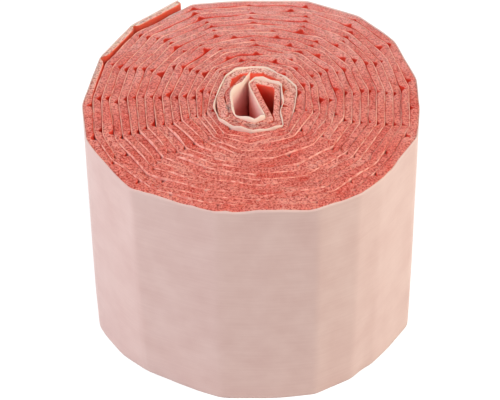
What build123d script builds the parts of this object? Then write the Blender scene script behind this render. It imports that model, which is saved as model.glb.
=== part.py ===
from build123d import *
import math
import os

# Insulation roll: one long strip of soft foam with a thin facing film on its outer side,
# wound up tightly without a core tube and standing on end.
# Millimetres, Z up, the roll's end on Z = 0 and its axis on the origin.

# The strip
strip_width = 100.0
foam_thickness = 2.3
film_thickness = 0.3
strip_thickness = foam_thickness + film_thickness

# The roll
roll_radius = 65.8
turn_slack = 0.42
turn_gap = 0.08
squeezed_foam_share = 0.62

# The strip doesn't bend smoothly: it lies in flat facets that grow longer with the radius
facet_at_axis = 8.89
facet_growth = 0.19
facet_spread_share = 0.15
golden_share = 0.618
crease_pull_share = 0.56
crease_reach_share = 0.42
crease_lag = 0.9
shortest_facet_share = 0.45

# At each crease the foam is nipped: a notch in its inner face, deeper in some than in others
notch_reach = 0.95
notch_reach_share = 0.3
notch_depth_share = 0.66
notch_spread_share = 0.5

# The last turn's creases, the last of them at the strip's cut end: their angles in degrees
# and their distances from the axis as shares of the roll's radius, where they lie tight
last_turn_angles = (
    112.4, 91.3, 69.8, 50.0, 31.5, 10.2, -5.6, -21.4, -44.4, -54.8, -69.4, -85.8,
    -102.7, -119.4, -132.2, -145.4, -160.2, -177.7, -203.6, -224.3, -244.2,
)
last_turn_shares = (
    0.970, 0.926, 0.970, 0.977, 0.967, 0.957, 0.956, 0.992, 1.003, 1.021, 1.014, 0.965,
    0.974, 0.982, 1.033, 1.008, 1.009, 0.987, 0.985, 0.997, 1.014,
)

# How far the last two of them stand loose as the tail lifts
tail_lifts = (1.1, 1.8)

# The film's line at the folded start of the strip, in strip thicknesses from the axis
fold_shares = (
    (-0.53, 5.02),
    (-3.15, 1.05),
    (-2.65, -3.85),
    (-0.02, -5.25),
    (1.85, -4.30),
    (-0.79, 3.74),
    (0.21, 4.85),
    (4.20, 3.31),
    (3.90, -3.11),
)

# The film's line round the first turn over that fold, in strip thicknesses from the axis
first_turn_shares = (
    (4.40, -6.04),
    (2.90, -7.00),
    (-0.11, -7.60),
    (-2.80, -6.75),
    (-5.10, -4.70),
    (-5.60, 0.40),
    (-4.10, 5.30),
    (-2.54, 6.82),
    (-0.44, 7.49),
    (1.95, 7.34),
    (4.60, 5.29),
    (6.33, 2.93),
    (6.46, 1.88),
    (6.05, -2.01),
)

full_turn = 2.0 * math.pi


def to_plan(spot):
    """Plan point of an angle and a radius."""
    angle, radius = spot
    return (radius * math.cos(angle), radius * math.sin(angle))


def to_polar(points, before):
    """Angles and radii of plan points, each angle within half a turn of the one before."""
    spots = []
    for x, y in points:
        half_turn = full_turn / 2.0
        fall = (before - math.atan2(y, x) + half_turn) % full_turn - half_turn
        before = before - fall
        spots.append((before, math.hypot(x, y)))
    return spots


def moved_right(points, distance):
    """A line moved to the right of its travel, mitred at its corners."""
    normals = []
    for (x0, y0), (x1, y1) in zip(points, points[1:]):
        length = math.hypot(x1 - x0, y1 - y0)
        normals.append(((y1 - y0) / length, (x0 - x1) / length))
    firsts = [normals[0]] + normals
    seconds = normals + [normals[-1]]
    line = []
    for (x, y), (ax, ay), (bx, by) in zip(points, firsts, seconds):
        mx, my = ax + bx, ay + by
        reach = 2.0 * distance / (mx * mx + my * my)
        line.append((x + mx * reach, y + my * reach))
    return line


def chord_radius(start, end, angle):
    """Radius at an angle of the straight line between two polar points."""
    (a0, r0), (a1, r1) = start, end
    return r0 * r1 * math.sin(a0 - a1) / (r0 * math.sin(a0 - angle) + r1 * math.sin(angle - a1))


def radius_below(wound, angle):
    """Radius of the film one turn further in than an angle."""
    for start, end in zip(wound, wound[1:]):
        if start[0] >= angle + full_turn >= end[0]:
            return chord_radius(start, end, angle + full_turn)
    return 0.0


def facet_length(radius, count):
    """Length of a facet at a radius, a little longer or shorter from one to the next."""
    spread = 2.0 * (count * golden_share % 1.0) - 1.0
    return (facet_at_axis + facet_growth * radius) * (1.0 + facet_spread_share * spread)


def wind_strip():
    """The film's creases from the first turn to the cut end, as angles and radii.

    The creases follow a spiral that starts as an oval and takes on the last turn's shape,
    and after it come the last turn's own creases. Each one is lifted where the foam would
    otherwise be squeezed too thin over a crease under it.
    """
    first_turn = [(strip_thickness * x, strip_thickness * y) for x, y in first_turn_shares]
    wall_x, wall_y = fold_shares[-1]
    wound = to_polar([(strip_thickness * wall_x, strip_thickness * wall_y)] + first_turn, 0.0)
    right, left = max(x for x, y in first_turn), min(x for x, y in first_turn)
    back, front = max(y for x, y in first_turn), min(y for x, y in first_turn)
    across, along = right - left, back - front
    start_angle, start_radius = wound[-1]
    mean_radius = (across + along) / 4.0
    turns = round((roll_radius - mean_radius) / (strip_thickness + turn_slack))
    last_turn = [
        (math.radians(degrees) - full_turn * turns, roll_radius * share)
        for degrees, share in zip(last_turn_angles, last_turn_shares)
    ]
    stop_angle, stop_radius = last_turn[0]
    tight = len(last_turn) - len(tail_lifts)
    tail = [(a, r + lift) for (a, r), lift in zip(last_turn[tight:], tail_lifts)]
    ahead_creases = last_turn[:tight] + tail
    squeezed = film_thickness + squeezed_foam_share * foam_thickness + turn_gap

    def outer_radius(angle):
        turned = (stop_angle - angle) % full_turn
        for start, end in zip(last_turn, last_turn[1:]):
            if start[0] >= stop_angle - turned >= end[0]:
                grown = (strip_thickness + turn_slack) * turned / full_turn
                return chord_radius(start, end, stop_angle - turned) - grown
        return stop_radius

    def spiral_radius(angle):
        oval = 0.5 / math.hypot(math.cos(angle) / across, math.sin(angle) / along)
        oval = oval + 0.5 * ((right + left) * math.cos(angle) + (back + front) * math.sin(angle))
        return oval + (outer_radius(angle) - oval) * (start_angle - angle) / (start_angle - stop_angle)

    here = (start_angle, start_radius)
    lift_before = 0.0
    count = 0
    while ahead_creases:
        angle, radius = here
        step = facet_length(radius, count) / radius
        ahead = angle - step
        nearest = min((a - full_turn for a, r in wound), key=lambda a: abs(a - ahead))
        nearest = nearest - crease_lag / radius
        if abs(nearest - ahead) < crease_reach_share * step:
            ahead = ahead + crease_pull_share * (nearest - ahead)
        if angle <= stop_angle or ahead - stop_angle < shortest_facet_share * step:
            ahead, reached = ahead_creases.pop(0)
        else:
            reached = spiral_radius(ahead)
        there = (ahead, max(reached, radius_below(wound, ahead) + squeezed))
        lift = 0.0
        for a, r in wound:
            if angle > a - full_turn > ahead:
                lift = max(lift, r + squeezed - chord_radius(here, there, a - full_turn))
        if count > 0:
            wound.append((angle, radius + max(lift_before, lift)))
        lift_before = lift
        here = there
        count = count + 1
    wound.append((here[0], here[1] + lift_before))
    return wound


def nip_creases(film_line, moved, loose):
    """The wound part of the foam's inner face, with a notch at each crease."""
    face = [moved[loose]]
    for i in range(loose + 1, len(moved) - 1):
        (px, py), (x, y), (nx, ny) = moved[i - 1 : i + 2]
        before = math.hypot(px - x, py - y)
        after = math.hypot(nx - x, ny - y)
        reach = min(notch_reach, notch_reach_share * before, notch_reach_share * after)
        depth = notch_depth_share * (1.0 - notch_spread_share * (i * golden_share % 1.0))
        fx, fy = film_line[i]
        face.append((x + (px - x) * reach / before, y + (py - y) * reach / before))
        face.append((x + (fx - x) * depth, y + (fy - y) * depth))
        face.append((x + (nx - x) * reach / after, y + (ny - y) * reach / after))
    face.append(moved[-1])
    return face


def lay_foam_face(film_line, wound):
    """The foam's inner face: the film's line moved in, draped over the creases it rests on."""
    moved = moved_right(film_line, strip_thickness)
    loose = len(film_line) - len(wound)
    face = moved[:loose]
    rest = to_polar(nip_creases(film_line, moved, loose), full_turn / 4.0)
    rest = [(a, max(r, radius_below(wound, a) + turn_gap)) for a, r in rest]
    for start, end in zip(rest, rest[1:]):
        face.append(to_plan(start))
        for a, r in wound:
            angle = a - full_turn
            if start[0] > angle > end[0] and r + turn_gap > chord_radius(start, end, angle):
                face.append(to_plan((angle, r + turn_gap)))
    face.append(to_plan(rest[-1]))
    return face


def extrude_between(left_line, right_line):
    """Solid between two plan lines, as tall as the strip is wide."""
    outline = Polyline(*left_line, *reversed(right_line), close=True)
    return extrude(make_face(outline), amount=strip_width, dir=(0, 0, 1))


wound = wind_strip()
fold = [(strip_thickness * x, strip_thickness * y) for x, y in fold_shares[:-1]]
film_line = fold + [to_plan(spot) for spot in wound]
laminated_line = moved_right(film_line, film_thickness)
foam_line = lay_foam_face(film_line, wound)

foam_strip = extrude_between(laminated_line, foam_line)
facing_film = extrude_between(film_line, laminated_line)

# The roll's axis goes through the middle of its outline
box = (foam_strip + facing_film).bounding_box()
shift = Pos(-box.center().X, -box.center().Y, -box.min.Z)

os.makedirs("parts", exist_ok=True)
export_step(shift * foam_strip, "parts/foam_strip.step")
export_step(shift * facing_film, "parts/facing_film.step")
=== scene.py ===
import math

import bpy
import numpy as np
from mathutils import Matrix, Vector


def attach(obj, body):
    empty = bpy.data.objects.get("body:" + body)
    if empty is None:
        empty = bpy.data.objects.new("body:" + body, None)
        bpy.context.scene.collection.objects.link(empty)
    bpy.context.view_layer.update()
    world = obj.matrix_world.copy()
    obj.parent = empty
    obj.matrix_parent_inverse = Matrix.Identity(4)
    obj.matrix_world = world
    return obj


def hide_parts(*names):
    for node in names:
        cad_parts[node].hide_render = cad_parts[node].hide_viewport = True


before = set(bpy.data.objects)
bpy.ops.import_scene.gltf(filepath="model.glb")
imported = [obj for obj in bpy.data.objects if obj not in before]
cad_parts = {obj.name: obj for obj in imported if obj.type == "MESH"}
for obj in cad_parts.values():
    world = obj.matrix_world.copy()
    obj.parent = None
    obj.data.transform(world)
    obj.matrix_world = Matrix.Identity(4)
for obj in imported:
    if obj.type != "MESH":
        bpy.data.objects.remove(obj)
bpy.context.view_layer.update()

# Insulation roll: a foam strip with a pale facing film, wound up and standing on end.
# Metres, in the part's own frame.

# The strip, as in the part's source
strip_width = 0.100
foam_thickness = 0.0023
film_thickness = 0.0003
strip_thickness = foam_thickness + film_thickness

# The roll
roll_radius = 0.0658
turn_slack = 0.00042
turn_gap = 0.00008
squeezed_foam_share = 0.62

# The flat facets that the strip lies in
facet_at_axis = 0.00889
facet_growth = 0.19
facet_spread_share = 0.15
golden_share = 0.618
crease_pull_share = 0.56
crease_reach_share = 0.42
crease_lag = 0.0009
shortest_facet_share = 0.45

# The notch in the foam's inner face at each crease, deeper and longer than in the part's
# source: large ones and small ones, some of them drawn out along the strip, slight ones on
# the first turn, and their sizes by the azimuth in degrees
notch_reach = 0.0019
notch_reach_share = 0.42
notch_depth_share = 0.86
notch_spread_share = 0.5
notch_stretch = 2.4
stretched_from_share = 0.60
silver_share = 0.414
first_turn_notch_share = 0.25
deepest_notch_share = 0.92
notch_sizes_around = (
    (0.0, 1.0),
    (45.0, 1.25),
    (90.0, 1.1),
    (130.0, 1.35),
    (170.0, 1.25),
    (210.0, 1.0),
    (270.0, 0.5),
    (320.0, 0.75),
)

# The last turn's creases: degrees, and shares of the roll's radius where they lie tight
last_turn_angles = (
    112.4, 91.3, 69.8, 50.0, 31.5, 10.2, -5.6, -21.4, -44.4, -54.8, -69.4, -85.8,
    -102.7, -119.4, -132.2, -145.4, -160.2, -177.7, -203.6, -224.3, -244.2,
)
last_turn_shares = (
    0.970, 0.926, 0.970, 0.977, 0.967, 0.957, 0.956, 0.992, 1.003, 1.021, 1.014, 0.965,
    0.974, 0.982, 1.033, 1.008, 1.009, 0.987, 0.985, 0.997, 1.014,
)
tail_lifts = (0.0011, 0.0018)

# The folded start and the first turn over it, in strip thicknesses from the axis
fold_shares = (
    (-0.53, 5.02),
    (-3.15, 1.05),
    (-2.65, -3.85),
    (-0.02, -5.25),
    (1.85, -4.30),
    (-0.79, 3.74),
    (0.21, 4.85),
    (4.20, 3.31),
    (3.90, -3.11),
)
first_turn_shares = (
    (4.40, -6.04),
    (2.90, -7.00),
    (-0.11, -7.60),
    (-2.80, -6.75),
    (-5.10, -4.70),
    (-5.60, 0.40),
    (-4.10, 5.30),
    (-2.54, 6.82),
    (-0.44, 7.49),
    (1.95, 7.34),
    (4.60, 5.29),
    (6.33, 2.93),
    (6.46, 1.88),
    (6.05, -2.01),
)

# Soft rounding of the creases
film_round_share = 0.35
film_round_most = 0.0016
face_round_share = 0.35
face_round_most = 0.0012
round_steps = (0.15, 0.85)
longest_step = 0.0026

# Uneven heights of the turns' ends: amplitudes, wavelengths along the strip and phases, how
# far they lie under the strip's width, and how much calmer they are at the roll's back
height_swells = (0.00030, 0.00024, 0.00012)
height_waves = (0.067, 0.151, 0.023)
height_phases = (0.6, 2.1, 4.0)
height_drop = 0.0002
calm_back_share = 0.55

# Raggedness of the cut towards the roll's front: height, spacing and seed of its places
ragged_height = 0.00034
ragged_spacing = 0.0026
ragged_seed = 7

# The foam's cut end: shares across its thickness, how far it rounds down there and how much
# of its moulded face's red shows
foam_cut_shares = (0.0, 0.05, 0.16, 0.36, 0.64, 0.84, 0.95, 1.0)
foam_cut_drops = (0.00016, 0.00007, 0.00002, 0.0, 0.0, 0.00002, 0.00006, 0.00012)
foam_cut_reds = (0.0, 0.0, 0.0, 0.0, 0.0, 0.05, 0.2, 0.5)

# Its inner face: shares of the height, and how far it has closed onto the turn below there,
# along the facets and at the notches. Then shares of the height behind the film, and how far
# the strip's two cut ends are drawn in
foam_face_shares = (0.994, 0.985, 0.970, 0.945, 0.80, 0.5, 0.2, 0.055, 0.030, 0.015, 0.006)
facet_closed_shares = (0.97, 0.98, 1.0, 1.0, 1.0, 1.0, 1.0, 1.0, 1.0, 0.98, 0.97)
notch_closed_shares = (0.15, 0.72, 1.0, 1.0, 1.0, 1.0, 1.0, 1.0, 1.0, 0.72, 0.15)
foam_back_shares = (0.03, 0.30, 0.70, 0.97)
cut_end_share = 0.86

# The film: shares of its height, and its edge's rise over the foam, by the azimuth in degrees
# and in waves along the strip
film_shares = (0.0, 0.004, 0.02, 0.08, 0.25, 0.5, 0.75, 0.92, 0.960, 0.975, 0.987, 1.0)
film_rises_around = (
    (0.0, -0.00012),
    (60.0, -0.00018),
    (100.0, -0.00018),
    (145.0, -0.00004),
    (180.0, -0.00006),
    (225.0, -0.00014),
    (270.0, -0.00036),
    (320.0, -0.00024),
)
film_rise_swells = (0.00021, 0.00015)
film_rise_waves = (0.037, 0.0131)
film_crown = 0.00005

# Its edge on the last turn, which stands proud at the back: its rise, and where that starts
# and is full, in the last turn's own lengths from the strip's cut end
rim_rise = 0.00030
rim_from_share = 0.975
rim_full_share = 0.945

# Its edge at the roll's front left, which stands up in a crescent on each facet
crescent_rise = 0.0018
crescent_azimuth = 222.0
crescent_half_width = 42.0
crescent_radius = 0.037
crescent_half_depth = 0.020

# How deep its edge's colour, partly its own salmon and partly painted red light from the foam, goes
# between the turns, and how far along the strip the core goes
edge_depth_with_painted_gap_light = 0.0030
core_full = 0.185
core_none = 0.235

# Its lip and its two blisters at the core: shares of the height where they start, the lip's
# waves along the strip, and the blisters' heights and places in facets
lip_from_share = 0.960
lip_fold_share = 0.987
lip_waves = (0.0071, 0.0113)
lip_wave_shares = (0.22, 0.18)
blister_from_share = 0.972
blister_heights = (0.0011, 0.0013)
blister_places = ((7.25, 8.0), (13.05, 14.0))

# The film's lip at the core: places in facets, its rise, its lean and the foam's paleness there
core_lips = (
    (0.0, 0.0020, 0.0004, 0.35),
    (0.4, 0.0013, -0.0002, 0.35),
    (0.8, 0.0010, -0.0007, 0.40),
    (1.6, 0.0010, -0.0008, 0.40),
    (2.0, 0.0013, -0.0005, 0.30),
    (2.3, 0.0018, 0.0002, 0.25),
    (3.0, 0.0021, 0.0006, 0.20),
    (3.2, 0.0012, 0.0004, 0.20),
    (3.5, 0.0021, 0.0006, 0.20),
    (4.0, 0.0012, 0.0004, 0.35),
    (4.4, 0.0002, 0.0001, 0.40),
    (4.9, 0.0004, 0.0001, 0.40),
    (6.0, 0.0015, 0.0002, 0.85),
    (7.0, 0.0012, 0.0003, 0.85),
    (7.5, 0.0004, 0.0002, 0.45),
    (9.0, 0.0013, 0.0002, 0.25),
    (10.0, 0.0018, 0.0003, 0.15),
    (12.0, 0.0019, 0.0003, 0.15),
    (13.0, 0.0012, 0.0003, 0.35),
    (14.0, 0.0004, 0.0001, 0.60),
    (16.0, 0.0005, 0.0001, 0.90),
    (17.0, 0.0008, 0.0001, 0.90),
    (20.0, 0.0004, 0.0001, 0.80),
    (21.0, 0.0002, 0.0, 0.50),
    (23.0, 0.0, 0.0, 0.0),
)

# The last turn's outer face: its bulge on each facet, and its film's ripples
last_turn_bulge = 0.00008
film_ripple = 0.00007
ripple_along = 0.031
ripple_up = 0.043
ripple_slant = 3.0

# The strip's end: where it turns pale, and counted back in facets, where it lies loose with a
# wider gap and where it stands open
pale_from = 0.085
pale_to = 0.050
loose_facets = 3.3
loosening_facets = 1.0
open_facets = 1.8
opening_facets = 0.5
loose_gap = 0.0006

# The first turn doesn't quite close onto the fold: places in facets and openness there
first_turn_gaps = (
    (8.0, 1.0),
    (8.6, 0.9),
    (9.0, 0.3),
    (9.4, 0.6),
    (10.0, 0.3),
    (11.5, 0.4),
    (12.6, 0.3),
    (13.0, 0.7),
    (13.4, 0.3),
    (14.0, 0.4),
    (14.5, 0.6),
    (15.0, 1.0),
    (17.0, 0.8),
    (19.0, 1.0),
    (20.3, 0.3),
    (21.5, 0.0),
)

# The roll isn't quite a prism: by the azimuth in degrees, how far its outline stands out at
# its upper end and at its foot
outline_sways = (
    (0.0, 0.0008, 0.0006),
    (18.0, 0.0016, 0.0006),
    (35.0, 0.0022, 0.0006),
    (55.0, 0.0016, 0.0003),
    (85.0, 0.0004, 0.0),
    (140.0, 0.0003, 0.0),
    (180.0, 0.0006, 0.0004),
    (205.0, 0.0006, 0.0003),
    (217.0, 0.0, -0.0011),
    (228.0, 0.0, -0.0037),
    (237.0, 0.0, -0.0029),
    (250.0, 0.0, -0.0009),
    (262.0, 0.0, 0.0),
    (280.0, 0.0, -0.0005),
    (298.0, 0.0, -0.0020),
    (312.0, 0.0, -0.0025),
    (327.0, 0.0003, -0.0004),
    (342.0, 0.0006, 0.0004),
)

# Closing of the foam onto what is under it
fold_bins = 90
deepest_close = 0.0030

# Where the last turn's outside starts, in its own lengths from the strip's cut end
outermost_from_share = 1.03
outermost_full_share = 0.99

# Grain of the foam and the film: cells or patches to a metre, detail and roughness. The film's
# streaks and mottle are first stretched along and up the strip
foam_cells = (1250.0, 2.0, 0.65)
foam_walls = (2300.0, 1.0, 0.5)
foam_patches = (260.0, 2.0, 0.5)
foam_stretches = (45.0, 3.0, 0.6)
film_crumbs = (330.0, 2.0, 0.5)
film_streaks = (1.0, 3.0, 0.6)
film_mottle = (1.0, 3.0, 0.55)
streak_stretch = (55.0, 0.0, 1100.0)
mottle_stretch = (70.0, 0.0, 70.0)
along_only = (1.0, 0.0, 0.0)

# What the grain does: the values it is read between, and what it becomes there
pore_range = (0.35, 0.56, 1.0, 0.0)
# Painted sheen and back light: the pores grow fainter and paler towards the roll's back
pores_by_painted_backlight = (0.1, 0.9, 0.95, 0.45)
pore_tones_by_painted_backlight = (0.2, 0.7, 0.0, 1.0)
wall_range = (0.48, 0.66, 0.0, 0.5)
stretch_range = (0.35, 0.65, 0.0, 1.0)
fading_range = (0.3, 0.7, 0.55, 0.95)
cell_depth_range = (0.3, 0.55, 0.0, 1.0)
foam_relief_by_cut = (0.0, 1.0, 0.15, 0.5)
streak_range = (0.3, 0.7, 0.0, 0.35)
mottle_range = (0.3, 0.7, 0.0, 0.65)
film_roughness_range = (0.3, 0.7, 0.42, 0.56)
crumb_range = (0.36, 0.50, 0.0, 1.0)
crumbs_by_front = (0.55, 0.9, 0.0, 0.09)
edge_by_inside = (0.0, 1.0, 1.0, 0.0)

# Heights between which the film in the core turns rosy and then red: painted red light, which the foam
# passes on deep in the core
painted_rosy_light_range = (0.0998, 0.0945, 0.0, 1.0)
painted_red_light_range = (0.0950, 0.0860, 0.0, 1.0)

# Screen colours, as pairs to go between
red_tones = ((218, 86, 72), (244, 152, 138))
# Painted sheen and back light: the paler, pinker cut foam towards the roll's back, here and in the second
# of the wall tones
painted_backlight_tones = ((228, 112, 106), (246, 168, 164))
wall_tones = ((246, 172, 158), (253, 196, 186))
pore_tones = ((172, 44, 35), (158, 80, 70))
faded_tone = (246, 206, 192)
moulded_tones = ((206, 48, 34), (222, 70, 50))
moulded_faded_tone = (255, 110, 84)
moulded_fading_share = 0.7
film_tones = ((223, 184, 177), (236, 203, 196))
# The film in the core: its own cream at the top, then painted red light that grows with depth
core_tones_with_painted_light = ((240, 212, 197), (255, 198, 194))
painted_red_light_tone = (255, 150, 142)
# The film's ends between the turns: partly their own salmon colour and crumbs of foam, partly painted red
# light from the foam in the gaps
film_edge_tones_with_painted_gap_light = ((226, 116, 100), (248, 176, 160))

# Surfaces: the shaders' plain settings, and the depth and strength of the relief
foam_surface = {
    "Roughness": 0.9,
    "Specular IOR Level": 0.2,
    "Subsurface Weight": 0.7,
    "Subsurface Radius": (1.0, 0.3, 0.2),
    "Subsurface Scale": 0.0035,
}
film_surface = {"Specular IOR Level": 0.35}
foam_relief = 0.00025
film_relief = 0.00003
film_relief_strength = 0.3

full_turn = 2.0 * math.pi


def to_plan(spot):
    """Plan point of an angle and a radius."""
    angle, radius = spot
    return (radius * math.cos(angle), radius * math.sin(angle))


def to_polar(points, before):
    """Angles and radii of plan points, each angle within half a turn of the one before."""
    spots = []
    for x, y in points:
        half_turn = full_turn / 2.0
        fall = (before - math.atan2(y, x) + half_turn) % full_turn - half_turn
        before = before - fall
        spots.append((before, math.hypot(x, y)))
    return spots


def moved_right(points, distance):
    """A line moved to the right of its travel: each point goes along the sum of the unit
    normals of the two runs that meet there, by twice the distance over that sum squared."""
    runs = np.diff(points, axis=0)
    normals = np.stack([runs[:, 1], -runs[:, 0]], axis=1)
    normals = normals / np.linalg.norm(runs, axis=1, keepdims=True)
    both = np.vstack([normals[:1], normals]) + np.vstack([normals, normals[-1:]])
    return points + both * (2.0 * distance / np.sum(both * both, axis=1, keepdims=True))


def chord_radius(start, end, angle):
    """Radius at an angle of the straight line between two polar points."""
    (a0, r0), (a1, r1) = start, end
    return r0 * r1 * math.sin(a0 - a1) / (r0 * math.sin(a0 - angle) + r1 * math.sin(angle - a1))


def radius_below(wound, angle):
    """Radius of the film one turn further in than an angle."""
    for start, end in zip(wound, wound[1:]):
        if start[0] >= angle + full_turn >= end[0]:
            return chord_radius(start, end, angle + full_turn)
    return 0.0


def facet_length(radius, count):
    """Length of a facet at a radius, a little longer or shorter from one to the next."""
    spread = 2.0 * (count * golden_share % 1.0) - 1.0
    return (facet_at_axis + facet_growth * radius) * (1.0 + facet_spread_share * spread)


def wind_strip():
    """The film's creases from the first turn to the cut end, as angles and radii: a spiral
    that starts as an oval and takes on the last turn's shape, then the last turn's own
    creases, each one lifted where the foam would be squeezed too thin over a crease."""
    first_turn = [(strip_thickness * x, strip_thickness * y) for x, y in first_turn_shares]
    wall_x, wall_y = fold_shares[-1]
    wound = to_polar([(strip_thickness * wall_x, strip_thickness * wall_y)] + first_turn, 0.0)
    right, left = max(x for x, y in first_turn), min(x for x, y in first_turn)
    back, front = max(y for x, y in first_turn), min(y for x, y in first_turn)
    across, along = right - left, back - front
    start_angle, start_radius = wound[-1]
    mean_radius = (across + along) / 4.0
    turns = round((roll_radius - mean_radius) / (strip_thickness + turn_slack))
    last_turn = [
        (math.radians(degrees) - full_turn * turns, roll_radius * share)
        for degrees, share in zip(last_turn_angles, last_turn_shares)
    ]
    stop_angle, stop_radius = last_turn[0]
    tight = len(last_turn) - len(tail_lifts)
    tail = [(a, r + lift) for (a, r), lift in zip(last_turn[tight:], tail_lifts)]
    ahead_creases = last_turn[:tight] + tail
    squeezed = film_thickness + squeezed_foam_share * foam_thickness + turn_gap

    def outer_radius(angle):
        turned = (stop_angle - angle) % full_turn
        for start, end in zip(last_turn, last_turn[1:]):
            if start[0] >= stop_angle - turned >= end[0]:
                grown = (strip_thickness + turn_slack) * turned / full_turn
                return chord_radius(start, end, stop_angle - turned) - grown
        return stop_radius

    def spiral_radius(angle):
        oval = 0.5 / math.hypot(math.cos(angle) / across, math.sin(angle) / along)
        oval = oval + 0.5 * ((right + left) * math.cos(angle) + (back + front) * math.sin(angle))
        return oval + (outer_radius(angle) - oval) * (start_angle - angle) / (start_angle - stop_angle)

    here = (start_angle, start_radius)
    lift_before = 0.0
    count = 0
    while ahead_creases:
        angle, radius = here
        step = facet_length(radius, count) / radius
        ahead = angle - step
        nearest = min((a - full_turn for a, r in wound), key=lambda a: abs(a - ahead))
        nearest = nearest - crease_lag / radius
        if abs(nearest - ahead) < crease_reach_share * step:
            ahead = ahead + crease_pull_share * (nearest - ahead)
        if angle <= stop_angle or ahead - stop_angle < shortest_facet_share * step:
            ahead, reached = ahead_creases.pop(0)
        else:
            reached = spiral_radius(ahead)
        there = (ahead, max(reached, radius_below(wound, ahead) + squeezed))
        lift = 0.0
        for a, r in wound:
            if angle > a - full_turn > ahead:
                lift = max(lift, r + squeezed - chord_radius(here, there, a - full_turn))
        if count > 0:
            wound.append((angle, radius + max(lift_before, lift)))
        lift_before = lift
        here = there
        count = count + 1
    wound.append((here[0], here[1] + lift_before))
    return wound


def by_azimuth(azimuth, table):
    """Value at an azimuth in degrees, on straight lines between a table's rows and round again."""
    azimuths, values = np.array(table).T
    return np.interp(azimuth, azimuths, values, period=360.0)


def nip_creases(film_line, moved, loose):
    """The wound part of the foam's inner face, with a notch at each crease: plan points, their
    places along the strip counted in facets, and how open the face is there."""
    face = [tuple(moved[loose])]
    places = [float(loose)]
    openness = [0.0]
    for i in range(loose + 1, len(moved) - 1):
        before = math.dist(moved[i - 1], moved[i])
        after = math.dist(moved[i + 1], moved[i])
        azimuth = math.degrees(math.atan2(moved[i][1], moved[i][0]))
        size = 1.0 - notch_spread_share * (i * golden_share % 1.0)
        size = size * by_azimuth(azimuth, notch_sizes_around)
        if i < loose + len(first_turn_shares):
            size = size * first_turn_notch_share
        drawn_out = 1.0 + notch_stretch * max(i * silver_share % 1.0 - stretched_from_share, 0.0)
        back_share = min(size * notch_reach / before, notch_reach_share)
        on_share = min(size * drawn_out * notch_reach / after, notch_reach_share)
        face.append(tuple(moved[i] + (moved[i - 1] - moved[i]) * back_share))
        depth_share = min(size * notch_depth_share, deepest_notch_share)
        face.append(tuple(moved[i] + (film_line[i] - moved[i]) * depth_share))
        face.append(tuple(moved[i] + (moved[i + 1] - moved[i]) * on_share))
        places.extend([i - back_share, float(i), i + on_share])
        openness.extend([0.0, 1.0, 0.0])
    face.append(tuple(moved[-1]))
    places.append(float(len(moved) - 1))
    openness.append(0.0)
    return face, places, openness


def strip_nodes():
    """The film's creases in plan, the foam's inner face as plan points with their places
    along the strip counted in facets and their openness, and the winding's axis. The face is
    the film's line moved in by the strip's thickness, notched, and lifted onto the turn below,
    with a point added over each crease that it rests on."""
    wound = wind_strip()
    fold = [(strip_thickness * x, strip_thickness * y) for x, y in fold_shares[:-1]]
    film_line = np.array(fold + [to_plan(spot) for spot in wound])
    moved = moved_right(film_line, strip_thickness)
    loose = len(fold)
    face = [(*point, float(i), 0.0) for i, point in enumerate(moved[:loose])]
    nipped, *marks = nip_creases(film_line, moved, loose)
    marks = np.array(marks).T
    rest = to_polar(nipped, full_turn / 4.0)
    rest = [(a, max(r, radius_below(wound, a) + turn_gap)) for a, r in rest]
    for start, end, mark, mark_after in zip(rest, rest[1:], marks, marks[1:]):
        face.append((*to_plan(start), *mark))
        for a, r in wound:
            angle = a - full_turn
            if start[0] > angle > end[0] and r + turn_gap > chord_radius(start, end, angle):
                share = (start[0] - angle) / (start[0] - end[0])
                face.append((*to_plan((angle, r + turn_gap)), *(mark + share * (mark_after - mark))))
    face.append((*to_plan(rest[-1]), *marks[-1]))
    face = np.array(face)
    every = np.vstack([film_line, face[:, :2]])
    middle = (every.min(axis=0) + every.max(axis=0)) / 2.0
    face[:, :2] = face[:, :2] - middle
    return film_line - middle, face, -middle


def rounded(nodes):
    """Stations along a line of nodes, the first two columns in plan: points of a quadratic
    curve round each corner, which leaves the runs at a share of the shorter one, and even
    steps along what lies between."""
    runs = np.diff(nodes, axis=0)
    lengths = np.linalg.norm(runs[:, :2], axis=1)
    shorter = np.minimum(np.append(0.0, lengths), np.append(lengths, 0.0))
    reach = np.minimum(face_round_share * shorter, face_round_most)[:, None]
    units = runs / lengths[:, None]
    leave = nodes - reach * np.vstack([units[:1], units])
    join = nodes + reach * np.vstack([units, units[-1:]])
    t = np.array(round_steps)[None, :, None]
    corners = (1 - t) ** 2 * leave[:, None] + 2 * t * (1 - t) * nodes[:, None] + t**2 * join[:, None]
    line = corners.reshape(-1, nodes.shape[1])
    spare = len(round_steps) - 1
    line = line[spare : len(line) - spare]
    gaps = np.linalg.norm(np.diff(line[:, :2], axis=0), axis=1)
    counts = np.maximum(np.ceil(gaps / longest_step), 1).astype(int)
    which = np.repeat(np.arange(len(counts)), counts)
    share = (np.arange(len(which)) - np.repeat(np.cumsum(counts) - counts, counts)) / counts[which]
    stepped = line[which] + share[:, None] * (line[which + 1] - line[which])
    return np.vstack([stepped, line[-1:]])


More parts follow.
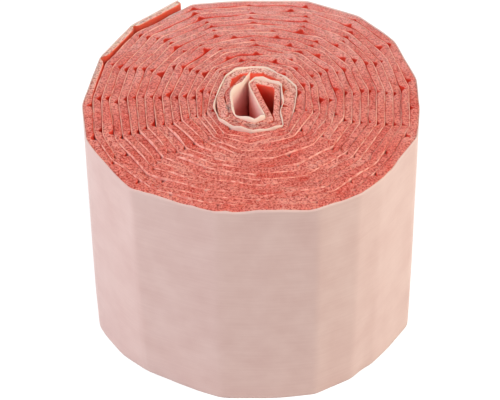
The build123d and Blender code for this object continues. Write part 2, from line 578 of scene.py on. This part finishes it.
def film_at(creases, places):
    """Film's line at places counted in facets: straight along each facet, and round each
    crease a quadratic curve that leaves the facets at a reach from it."""
    runs = np.diff(creases, axis=0)
    lengths = np.linalg.norm(runs, axis=1)
    units = runs / lengths[:, None]
    i = np.clip(np.rint(places), 0, len(creases) - 1).astype(int)
    before = np.maximum(i - 1, 0)
    after = np.minimum(i, len(lengths) - 1)
    reach = np.minimum(film_round_share * np.minimum(lengths[before], lengths[after]), film_round_most)
    past = places > i
    away = (places - i) * np.where(past, lengths[after], lengths[before])
    t = np.clip(0.5 + 0.5 * away / reach, 0.0, 1.0)[:, None]
    leave = creases[i] - reach[:, None] * units[before]
    join = creases[i] + reach[:, None] * units[after]
    curve = (1 - t) ** 2 * leave + 2 * t * (1 - t) * creases[i] + t**2 * join
    straight = creases[i] + away[:, None] * np.where(past[:, None], units[after], units[before])
    return np.where((np.abs(away) < reach)[:, None], curve, straight)


def eased(value, start, end):
    """0 at start, 1 at end, with a smooth cubic between."""
    t = np.clip((value - start) / (end - start), 0.0, 1.0)
    return t * t * (3.0 - 2.0 * t)


def waves(along, swells, lengths, phases):
    """Sum of sine waves along the strip."""
    total = np.zeros_like(along)
    for swell, length, phase in zip(swells, lengths, phases):
        total = total + swell * np.sin(full_turn * along / length + phase)
    return total


def ragged(along):
    """Random heights between -1 and 1 at even places along the strip, joined by straight
    lines."""
    knots = np.arange(0.0, along[-1] + ragged_spacing, ragged_spacing)
    heights = np.random.default_rng(ragged_seed).uniform(-1.0, 1.0, len(knots))
    return np.interp(along, knots, heights)


def closed_face(film, face, places, axis):
    """The foam's inner face where it has closed onto what lies under it: each point drawn in
    along its radius to the film one turn below, or on the first turn to the fold's outline."""
    def polar(points):
        angles = np.unwrap(np.arctan2(points[:, 1] - axis[1], points[:, 0] - axis[0]))
        return angles, np.linalg.norm(points - axis, axis=1)

    fold_end = float(len(fold_shares) - 1)
    wound = places >= fold_end
    film_angles, film_radii = polar(film[wound])
    face_angles, face_radii = polar(face[wound])
    below = np.interp(face_angles + full_turn, film_angles[::-1], film_radii[::-1])
    first = face_angles + full_turn > film_angles[0]
    fold_angles, fold_radii = polar(np.vstack([film[~wound], face[~wound]]))
    bins = np.floor(fold_angles / full_turn * fold_bins).astype(int) % fold_bins
    outline = np.zeros(fold_bins)
    np.maximum.at(outline, bins, fold_radii)
    met = np.flatnonzero(outline)
    around_first = face_angles / full_turn * fold_bins % fold_bins - 0.5
    under_first = np.interp(around_first, met, outline[met], period=fold_bins)
    target = np.where(first, under_first, below) + turn_gap
    radii = np.minimum(face_radii, np.maximum(target, face_radii - deepest_close))
    closed = face.copy()
    closed[wound] = axis + (face[wound] - axis) * (radii / face_radii)[:, None]
    return closed


film_creases, face_nodes, axis = strip_nodes()
face_stations = rounded(face_nodes)
face_path = face_stations[:, :2]
places = face_stations[:, 2]
openness = face_stations[:, 3]
film_path = film_at(film_creases, places)
tangents = np.gradient(film_path, axis=0)
tangents = tangents / np.linalg.norm(tangents, axis=1, keepdims=True)
inward = np.stack([tangents[:, 1], -tangents[:, 0]], axis=1)
along = np.append(0.0, np.cumsum(np.linalg.norm(np.diff(film_path, axis=0), axis=1)))
strip_length = along[-1]
last_turn_length = full_turn * roll_radius
outside_from = strip_length - outermost_from_share * last_turn_length
outside_full = strip_length - outermost_full_share * last_turn_length
outermost = eased(along, outside_from, outside_full)
in_core = 1.0 - eased(along, core_full, core_none)
lip_places, lip_rises, lip_leans, lip_paleness = np.array(core_lips).T
lip_rise = np.interp(places, lip_places, lip_rises)
lip_lean = np.interp(places, lip_places, lip_leans)
paler = eased(along, strip_length - pale_from, strip_length - pale_to)
paler = np.maximum(paler, np.interp(places, lip_places, lip_paleness))
last_place = len(film_creases) - 1.0
loose_from = last_place - loose_facets
open_full = last_place - open_facets
loose = eased(places, loose_from, loose_from + loosening_facets)
opened = eased(places, open_full - opening_facets, open_full)
face_path = face_path - loose_gap * loose[:, None] * inward
shut_path = closed_face(film_path, face_path, places, axis)
shut_path = face_path + (1.0 - opened[:, None]) * (shut_path - face_path)
around_fold = np.interp(places, *np.array(first_turn_gaps).T)
notched = np.maximum(np.maximum(openness, loose), around_fold)
towards_back = np.clip(0.5 + 0.5 * film_path[:, 1] / roll_radius, 0.0, 1.0)
calmed = 1.0 - calm_back_share * towards_back
end_height = strip_width - height_drop + calmed * waves(along, height_swells, height_waves, height_phases)
end_height = end_height + ragged_height * (1.0 - towards_back) ** 2 * ragged(along)

# The last turn is a little bulged between its creases
facet_share = places - np.floor(places)
bulge = last_turn_bulge * outermost * 4.0 * facet_share * (1.0 - facet_share)
film_path = film_path - bulge[:, None] * inward
film_azimuths = np.degrees(np.arctan2(film_path[:, 1], film_path[:, 0]))


def swayed(rows):
    """Points moved along their radius by the outline's sway at their azimuth, which goes from
    its foot's to its upper end's as the square root of the height and grows with the square
    of the radius."""
    azimuths = np.degrees(np.arctan2(rows[..., 1], rows[..., 0]))
    at_top = by_azimuth(azimuths, [(azimuth, top) for azimuth, top, foot in outline_sways])
    at_foot = by_azimuth(azimuths, [(azimuth, foot) for azimuth, top, foot in outline_sways])
    share = np.sqrt(np.clip(rows[..., 2] / strip_width, 0.0, 1.0))
    radii = np.linalg.norm(rows[..., :2], axis=-1)
    moved = (at_foot + share * (at_top - at_foot)) * radii / roll_radius**2
    return np.concatenate([rows[..., :2] * (1.0 + moved)[..., None], rows[..., 2:]], axis=-1)


def build_strip(name, sections, values, material):
    """Closed mesh of a section carried along the strip: sections is (stations, points, 3),
    each pair of neighbouring points on neighbouring stations is joined by a quad, and the
    first and last sections are filled. values are arrays kept as attributes of the points."""
    stations, points = sections.shape[:2]
    i, k = np.meshgrid(np.arange(stations - 1), np.arange(points), indexing="ij")
    here = i * points + k
    beside = i * points + (k + 1) % points
    quads = np.stack([here, beside, beside + points, here + points], axis=-1).reshape(-1, 4)
    start_cap = list(range(points))[::-1]
    end_cap = [(stations - 1) * points + n for n in range(points)]
    mesh = bpy.data.meshes.new(name)
    mesh.from_pydata(sections.reshape(-1, 3).tolist(), [], quads.tolist() + [start_cap, end_cap])
    for label, value in values.items():
        if value.ndim == 3:
            layer = mesh.attributes.new(label, "FLOAT_VECTOR", "POINT")
            layer.data.foreach_set("vector", value.reshape(-1).astype(np.float32))
        else:
            layer = mesh.attributes.new(label, "FLOAT", "POINT")
            layer.data.foreach_set("value", value.reshape(-1).astype(np.float32))
    mesh.polygons.foreach_set("use_smooth", np.ones(len(mesh.polygons), dtype=bool))
    mesh.materials.append(material)
    mesh.update()
    piece = bpy.data.objects.new(name, mesh)
    bpy.context.scene.collection.objects.link(piece)
    return piece


def with_cut_ends(rows, inset):
    """Rows with one more at each end, drawn in towards the middle of the end row."""
    middle = rows.mean(axis=1, keepdims=True)
    drawn_in = middle + (rows - middle) * np.array(inset)
    return np.concatenate([drawn_in[:1], rows, drawn_in[-1:]], axis=0)


def foam_sections():
    """Sections of the foam: across from the film's back to the inner face over the rounded
    top, down the inner face, which closes onto the turn below with depth, back under the
    bottom and up behind the film."""
    back = film_path + film_thickness * inward
    cut = np.array(foam_cut_shares)
    drops = np.array(foam_cut_drops)
    face = np.array(foam_face_shares)
    behind = np.array(foam_back_shares)
    facet_closed = np.array(facet_closed_shares)
    closed = facet_closed + notched[:, None] * (np.array(notch_closed_shares) - facet_closed)
    rim = face_path + closed[:, :1] * (shut_path - face_path)
    top = back[:, None] + cut[None, :, None] * (rim - back)[:, None]
    inner = face_path[:, None] + closed[:, :, None] * (shut_path - face_path)[:, None]
    outer = np.repeat(back[:, None], len(behind), axis=1)
    plan = np.concatenate([top, inner, top[:, ::-1], outer], axis=1)
    level = np.concatenate([np.ones(len(cut)), face, np.zeros(len(cut)), behind])
    drop = np.concatenate([-drops, np.zeros(len(face)), drops[::-1], np.zeros(len(behind))])
    height = level[None, :] * end_height[:, None] + drop[None, :]
    rows = np.concatenate([plan, height[:, :, None]], axis=2)
    rim_cut = 1.0 - np.array(foam_cut_reds)
    cut_end = np.concatenate([rim_cut, np.zeros(len(face)), rim_cut[::-1], np.zeros(len(behind))])
    cut_end = np.repeat(cut_end[None, :], len(rows) + 2, axis=0)
    cut_end[0] = cut_end[-1] = 1.0
    across = np.concatenate([cut, np.ones(len(face)), cut[::-1], np.zeros(len(behind))])
    strip = np.stack(np.broadcast_arrays(along[:, None], across[None, :] * foam_thickness, height), axis=2)
    strip = np.concatenate([strip[:1], strip, strip[-1:]], axis=0)
    pale = np.repeat(paler[:, None], rows.shape[1], axis=1)
    pale = np.concatenate([pale[:1], pale, pale[-1:]], axis=0)
    rows = with_cut_ends(rows, (cut_end_share, cut_end_share, 1.0))
    # Painted sheen and back light: a share that grows towards the roll's back, by which the cut foam is
    # coloured paler and pinker with fainter pores
    pink = np.clip(0.5 + 0.5 * rows[..., 1] / roll_radius, 0.0, 1.0) ** 2
    return rows, {"strip": strip, "cut": cut_end, "pale": pale, "pink": pink}


def crescents():
    """Rise of the film's edge in crescents, one to a facet as a squared sine along it, most
    where the roll's front left is, and fading with the angle and the radius from there."""
    turned = (film_azimuths - crescent_azimuth + 180.0) % 360.0 - 180.0
    sideways = np.clip(1.0 - np.abs(turned) / crescent_half_width, 0.0, 1.0)
    outwards = np.linalg.norm(film_path, axis=1) - crescent_radius
    fading = sideways * np.clip(1.0 - np.abs(outwards) / crescent_half_depth, 0.0, 1.0)
    uneven = np.floor(places) * golden_share % 1.0
    return crescent_rise * np.sqrt(fading) * uneven * np.sin(math.pi * facet_share) ** 2


def film_sections():
    """Sections of the film: up its outer face, over its edge and down its back. Its upper edge
    rises over the foam, or stays under it, by its azimuth and in sine waves along the strip,
    with crescents in front and a proud rim at the back of the last turn. At the core it is a
    lip, higher and lower in waves along the strip, which leans away from the foam as the
    square of the height above where it starts, or folds back over it in a straight flap, and
    two stretches stand off the foam in blisters shaped as squared sines."""
    shares = np.array(film_shares)
    scallop = 1.0 + waves(along, lip_wave_shares, lip_waves, height_phases)
    curl = np.clip((shares - lip_from_share) / (1.0 - lip_from_share), 0.0, 1.0) ** 2
    folded = np.clip((shares - lip_fold_share) / (1.0 - lip_fold_share), 0.0, 1.0)
    lean = (lip_lean * scallop)[:, None]
    away = np.where(lean > 0.0, lean * curl, lean * folded)
    blistered = np.clip((shares - blister_from_share) / (1.0 - blister_from_share), 0.0, 1.0)
    for (start, end), height in zip(blister_places, blister_heights):
        share = np.clip((places - start) / (end - start), 0.0, 1.0)
        away = away + height * (np.sin(math.pi * share) ** 2)[:, None] * blistered[None, :]
    ripples = along[:, None] / ripple_along
    around_roll = np.sin(full_turn * ripples)
    up_roll = np.sin(full_turn * (shares * strip_width / ripple_up + ripples / ripple_slant))
    away = away + film_ripple * outermost[:, None] * around_roll * up_roll
    rise = by_azimuth(film_azimuths, film_rises_around)
    rise = rise + waves(along, film_rise_swells, film_rise_waves, height_phases)
    rim_from = strip_length - rim_from_share * last_turn_length
    rim_full = strip_length - rim_full_share * last_turn_length
    on_rim = eased(along, rim_from, rim_full)
    rise = rise + on_rim * towards_back**2 * (rim_rise - rise)
    top = end_height + rise + lip_rise * scallop + crescents()
    height = shares[None, :] * top[:, None]
    outer = film_path[:, None] - away[:, :, None] * inward[:, None]
    back = outer + film_thickness * inward[:, None]
    crest = (outer[:, -1:] + back[:, -1:]) / 2.0
    foot = (outer[:, :1] + back[:, :1]) / 2.0
    plan = np.concatenate([outer, crest, back[:, ::-1], foot], axis=1)
    ends = np.stack([top + film_crown, 0.0 * top], axis=1)
    height = np.concatenate([height, ends[:, :1], height[:, ::-1], ends[:, 1:]], axis=1)
    rows = np.concatenate([plan, height[:, :, None]], axis=2)
    # Painted red light in the gaps between the turns, as well as the film's own salmon edge: a share that
    # grows towards the film's ends, off the last turn's outside
    from_edge = np.minimum(height, np.abs(top[:, None] - height))
    edge_tint_with_painted_gap_light = np.clip(1.0 - from_edge / edge_depth_with_painted_gap_light, 0.0, 1.0) * (1.0 - outermost[:, None])
    side = np.concatenate([0.0 * shares, [0.5], 0.0 * shares + 1.0, [0.5]])
    strip = np.stack(np.broadcast_arrays(along[:, None], side[None, :] * film_thickness, height), axis=2)
    inside = np.repeat(in_core[:, None], rows.shape[1], axis=1)
    front = np.repeat(1.0 - towards_back[:, None], rows.shape[1], axis=1)
    return rows, {"strip": strip, "edge": edge_tint_with_painted_gap_light, "inside": inside, "front": front}


def colour(tone):
    """Linear colour of a screen colour given in 0 to 255, by the sRGB formula."""
    screen = np.array(tone) / 255.0
    linear = np.where(screen <= 0.04045, screen / 12.92, ((screen + 0.055) / 1.055) ** 2.4)
    return (*linear.tolist(), 1.0)


class Finish:
    """A material's nodes, added and joined in plain words."""

    def __init__(self, name):
        self.material = bpy.data.materials.new(name)
        self.material.use_nodes = True
        self.nodes = self.material.node_tree.nodes
        self.links = self.material.node_tree.links
        self.shader = self.nodes["Principled BSDF"]

    def put(self, value, socket):
        if isinstance(value, bpy.types.NodeSocket):
            self.links.new(value, socket)
        else:
            socket.default_value = value

    def attribute(self, label):
        node = self.nodes.new("ShaderNodeAttribute")
        node.attribute_name = label
        return node

    def stretched(self, vector, amounts):
        node = self.nodes.new("ShaderNodeVectorMath")
        node.operation = "MULTIPLY"
        self.put(vector, node.inputs[0])
        self.put(amounts, node.inputs[1])
        return node.outputs[0]

    def noise(self, vector, scale, detail, roughness):
        node = self.nodes.new("ShaderNodeTexNoise")
        self.put(vector, node.inputs["Vector"])
        node.inputs["Scale"].default_value = scale
        node.inputs["Detail"].default_value = detail
        node.inputs["Roughness"].default_value = roughness
        return node.outputs["Fac"]

    def ranged(self, value, low, high, to_low, to_high):
        node = self.nodes.new("ShaderNodeMapRange")
        self.put(value, node.inputs["Value"])
        node.inputs["From Min"].default_value = low
        node.inputs["From Max"].default_value = high
        node.inputs["To Min"].default_value = to_low
        node.inputs["To Max"].default_value = to_high
        return node.outputs["Result"]

    def sum(self, operation, first, second):
        node = self.nodes.new("ShaderNodeMath")
        node.operation = operation
        self.put(first, node.inputs[0])
        self.put(second, node.inputs[1])
        return node.outputs[0]

    def mix(self, share, first, second):
        node = self.nodes.new("ShaderNodeMix")
        node.data_type = "RGBA"
        self.put(share, node.inputs["Factor"])
        self.put(first, node.inputs["A"])
        self.put(second, node.inputs["B"])
        return node.outputs["Result"]

    def blend(self, share, tones):
        first, second = tones
        return self.mix(share, colour(first), colour(second))

    def height(self, vector):
        node = self.nodes.new("ShaderNodeSeparateXYZ")
        self.put(vector, node.inputs[0])
        return node.outputs["Z"]

    def shade(self, base_colour, settings):
        self.put(base_colour, self.shader.inputs["Base Color"])
        for label, value in settings.items():
            self.put(value, self.shader.inputs[label])

    def bump(self, height, distance, strength):
        node = self.nodes.new("ShaderNodeBump")
        self.put(height, node.inputs["Height"])
        node.inputs["Distance"].default_value = distance
        self.put(strength, node.inputs["Strength"])
        self.links.new(node.outputs["Normal"], self.shader.inputs["Normal"])


def foam_finish():
    """Soft red foam: smooth and saturated on its moulded faces, and paler with dark open cells
    and light walls on its cut ends. Those are redder in front, and paler and pinker with
    fainter pores towards the back, which is painted sheen and back light; they are palest at
    the strip's loose end and at the core."""
    finish = Finish("red_foam")
    strip = finish.attribute("strip").outputs["Vector"]
    cut = finish.attribute("cut").outputs["Fac"]
    pale = finish.attribute("pale").outputs["Fac"]
    # Painted sheen and back light: the share towards the roll's back that the cut foam's colours and pores
    # follow
    pink = finish.attribute("pink").outputs["Fac"]
    place = finish.nodes.new("ShaderNodeTexCoord").outputs["Object"]
    cells = finish.noise(place, *foam_cells)
    walls = finish.noise(place, *foam_walls)
    patches = finish.noise(strip, *foam_patches)
    stretches = finish.noise(finish.stretched(strip, along_only), *foam_stretches)
    pore_strength = finish.ranged(pink, *pores_by_painted_backlight)
    holes = finish.sum("MULTIPLY", finish.ranged(cells, *pore_range), pore_strength)
    light = finish.ranged(walls, *wall_range)
    tone = finish.ranged(stretches, *stretch_range)
    base = finish.mix(pink, finish.blend(tone, red_tones), finish.blend(tone, painted_backlight_tones))
    cut_colour = finish.mix(light, base, finish.blend(pink, wall_tones))
    faded = finish.sum("MULTIPLY", pale, finish.ranged(patches, *fading_range))
    cut_colour = finish.mix(faded, cut_colour, colour(faded_tone))
    pores = finish.blend(finish.ranged(pink, *pore_tones_by_painted_backlight), pore_tones)
    cut_colour = finish.mix(holes, cut_colour, pores)
    face_colour = finish.blend(patches, moulded_tones)
    face_faded = finish.sum("MULTIPLY", pale, moulded_fading_share)
    face_colour = finish.mix(face_faded, face_colour, colour(moulded_faded_tone))
    finish.shade(finish.mix(cut, face_colour, cut_colour), foam_surface)
    depth = finish.ranged(cells, *cell_depth_range)
    finish.bump(depth, foam_relief, finish.ranged(cut, *foam_relief_by_cut))
    return finish.material


def film_finish():
    """Pale pink satin film, faintly streaked along the strip and mottled by the foam behind it.
    Its cut edges are pinker, partly their own salmon colour and partly painted red light from
    the foam, which runs down into the gaps between the turns, and broken by crumbs of foam,
    most of all in front. Deep in the core it turns rosier and then red, painted red light that
    the foam passes on there."""
    finish = Finish("pale_film")
    strip = finish.attribute("strip").outputs["Vector"]
    edge = finish.attribute("edge").outputs["Fac"]
    inside = finish.attribute("inside").outputs["Fac"]
    front = finish.attribute("front").outputs["Fac"]
    streaks = finish.noise(finish.stretched(strip, streak_stretch), *film_streaks)
    mottle = finish.noise(finish.stretched(strip, mottle_stretch), *film_mottle)
    streaked = finish.ranged(streaks, *streak_range)
    shade = finish.sum("ADD", streaked, finish.ranged(mottle, *mottle_range))
    height = finish.height(strip)
    # Painted red light deep in the core: the film grows rosier and then red with depth
    core = finish.blend(finish.ranged(height, *painted_rosy_light_range), core_tones_with_painted_light)
    core = finish.mix(finish.ranged(height, *painted_red_light_range), core, colour(painted_red_light_tone))
    body = finish.mix(inside, finish.blend(shade, film_tones), core)
    # Painted red light in the gaps between the turns, with the film's own salmon edge and crumbs of foam:
    # a pinker colour near the film's ends
    edge_share_with_painted_gap_light = finish.sum("MULTIPLY", edge, finish.ranged(inside, *edge_by_inside))
    crumbs = finish.noise(finish.stretched(strip, along_only), *film_crumbs)
    crumbs = finish.sum("SUBTRACT", crumbs, finish.ranged(front, *crumbs_by_front))
    edge_colour_with_painted_gap_light = finish.blend(finish.ranged(crumbs, *crumb_range), film_edge_tones_with_painted_gap_light)
    finish.shade(finish.mix(edge_share_with_painted_gap_light, body, edge_colour_with_painted_gap_light), film_surface)
    finish.put(finish.ranged(streaks, *film_roughness_range), finish.shader.inputs["Roughness"])
    finish.bump(streaks, film_relief, film_relief_strength)
    return finish.material


rows, values = foam_sections()
foam = build_strip("foam_winding", swayed(rows), values, foam_finish())
rows, values = film_sections()
film = build_strip("film_winding", swayed(rows), values, film_finish())
for piece, node, slot in ((foam, "foam_strip", "foam"), (film, "facing_film", "film")):
    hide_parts(node)
    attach(piece, "root")

# Floor, which is white to the camera and keeps a soft shadow: its reach, its grey to the
# light, and the grey and the glow that the camera sees
floor_reach = 6.0
paper_grey = 0.58
seen_grey = 0.34
seen_glow = 0.80
floor_mesh = bpy.data.meshes.new("floor")
floor_corners = [(-floor_reach, -floor_reach, 0), (floor_reach, -floor_reach, 0),
                 (floor_reach, floor_reach, 0), (-floor_reach, floor_reach, 0)]
floor_mesh.from_pydata(floor_corners, [], [(0, 1, 2, 3)])
floor = bpy.data.objects.new("floor", floor_mesh)
bpy.context.scene.collection.objects.link(floor)


def seen_directly(tree):
    """Share that is 1 for camera, glossy and transmission rays."""
    path = tree.nodes.new("ShaderNodeLightPath")
    total = path.outputs["Is Camera Ray"]
    for label in ("Is Glossy Ray", "Is Transmission Ray"):
        larger = tree.nodes.new("ShaderNodeMath")
        larger.operation = "MAXIMUM"
        tree.links.new(total, larger.inputs[0])
        tree.links.new(path.outputs[label], larger.inputs[1])
        total = larger.outputs[0]
    return total


def white_floor():
    """White floor: mostly its own white to the camera, and plain grey paper to the light."""
    material = bpy.data.materials.new("white_floor")
    material.use_nodes = True
    tree = material.node_tree
    tree.nodes.clear()
    paper = tree.nodes.new("ShaderNodeBsdfDiffuse")
    paper.inputs["Color"].default_value = (paper_grey, paper_grey, paper_grey, 1.0)
    shaded = tree.nodes.new("ShaderNodeBsdfDiffuse")
    shaded.inputs["Color"].default_value = (seen_grey, seen_grey, seen_grey, 1.0)
    glow = tree.nodes.new("ShaderNodeEmission")
    glow.inputs["Strength"].default_value = seen_glow
    seen = tree.nodes.new("ShaderNodeAddShader")
    tree.links.new(shaded.outputs[0], seen.inputs[0])
    tree.links.new(glow.outputs[0], seen.inputs[1])
    either = tree.nodes.new("ShaderNodeMixShader")
    tree.links.new(seen_directly(tree), either.inputs[0])
    tree.links.new(paper.outputs[0], either.inputs[1])
    tree.links.new(seen.outputs[0], either.inputs[2])
    output = tree.nodes.new("ShaderNodeOutputMaterial")
    tree.links.new(either.outputs[0], output.inputs["Surface"])
    return material


floor_mesh.materials.append(white_floor())

# Surroundings: plain white to the camera, softer as light
ambient_strength = 0.16
world = bpy.data.worlds.new("studio")
bpy.context.scene.world = world
world.use_nodes = True
tree = world.node_tree
tree.nodes.clear()
ambient = tree.nodes.new("ShaderNodeBackground")
ambient.inputs["Strength"].default_value = ambient_strength
white = tree.nodes.new("ShaderNodeBackground")
either = tree.nodes.new("ShaderNodeMixShader")
tree.links.new(seen_directly(tree), either.inputs[0])
tree.links.new(ambient.outputs[0], either.inputs[1])
tree.links.new(white.outputs[0], either.inputs[2])
output = tree.nodes.new("ShaderNodeOutputWorld")
tree.links.new(either.outputs[0], output.inputs["Surface"])
for background in (ambient, white):
    background.inputs["Color"].default_value = (1.0, 1.0, 1.0, 1.0)

# Soft boxes: name, azimuth and elevation in degrees, distance, side, watts, colour
soft_boxes = (
    ("left_box", 203.0, 34.0, 1.3, 0.9, 12.8, (0.96, 1.0, 1.05)),
    ("right_box", -14.0, 34.0, 1.3, 0.9, 14.9, (1.0, 0.99, 0.85)),
    ("top_box", -90.0, 62.0, 1.3, 0.9, 1.6, (1.0, 1.0, 1.0)),
)
roll_middle = Vector((0.0, 0.0, strip_width / 2.0))


def around(azimuth, elevation, distance):
    """Point at a distance from the roll's middle, azimuth from +X and elevation in degrees."""
    turn, rise = math.radians(azimuth), math.radians(elevation)
    direction = Vector((math.cos(rise) * math.cos(turn), math.cos(rise) * math.sin(turn), math.sin(rise)))
    return roll_middle + distance * direction


for name, azimuth, elevation, distance, side, watts, tint in soft_boxes:
    lamp = bpy.data.lights.new(name, "AREA")
    lamp.shape = "SQUARE"
    lamp.size = side
    lamp.energy = watts
    lamp.color = tint
    box = bpy.data.objects.new(name, lamp)
    box.location = around(azimuth, elevation, distance)
    box.rotation_euler = (roll_middle - box.location).to_track_quat("-Z", "Y").to_euler()
    bpy.context.scene.collection.objects.link(box)

# Camera at the photograph's place
camera_azimuth = -90.0
camera_elevation = 42.25
camera_distance = 0.9296
camera_roll = -0.61
focal_pixels = 2345.0
picture_width = 500.0
aim_pixels = (-1.4, 3.1)
nearest_seen = 0.01
farthest_seen = 50.0
camera_data = bpy.data.cameras.new("camera")
camera_data.sensor_fit = "HORIZONTAL"
camera_data.lens = focal_pixels / picture_width * camera_data.sensor_width
camera = bpy.data.objects.new("camera", camera_data)
camera.location = around(camera_azimuth, camera_elevation, camera_distance)
look = (roll_middle - camera.location).to_track_quat("-Z", "Y").to_matrix().to_4x4()
rolled = Matrix.Rotation(math.radians(camera_roll), 4, "Z")
camera.matrix_world = Matrix.Translation(camera.location) @ look @ rolled
camera_data.shift_x = aim_pixels[0] / picture_width
camera_data.shift_y = -aim_pixels[1] / picture_width
camera_data.clip_start = nearest_seen
camera_data.clip_end = farthest_seen
bpy.context.scene.collection.objects.link(camera)
bpy.context.scene.camera = camera

bpy.context.scene.view_settings.view_transform = "Standard"
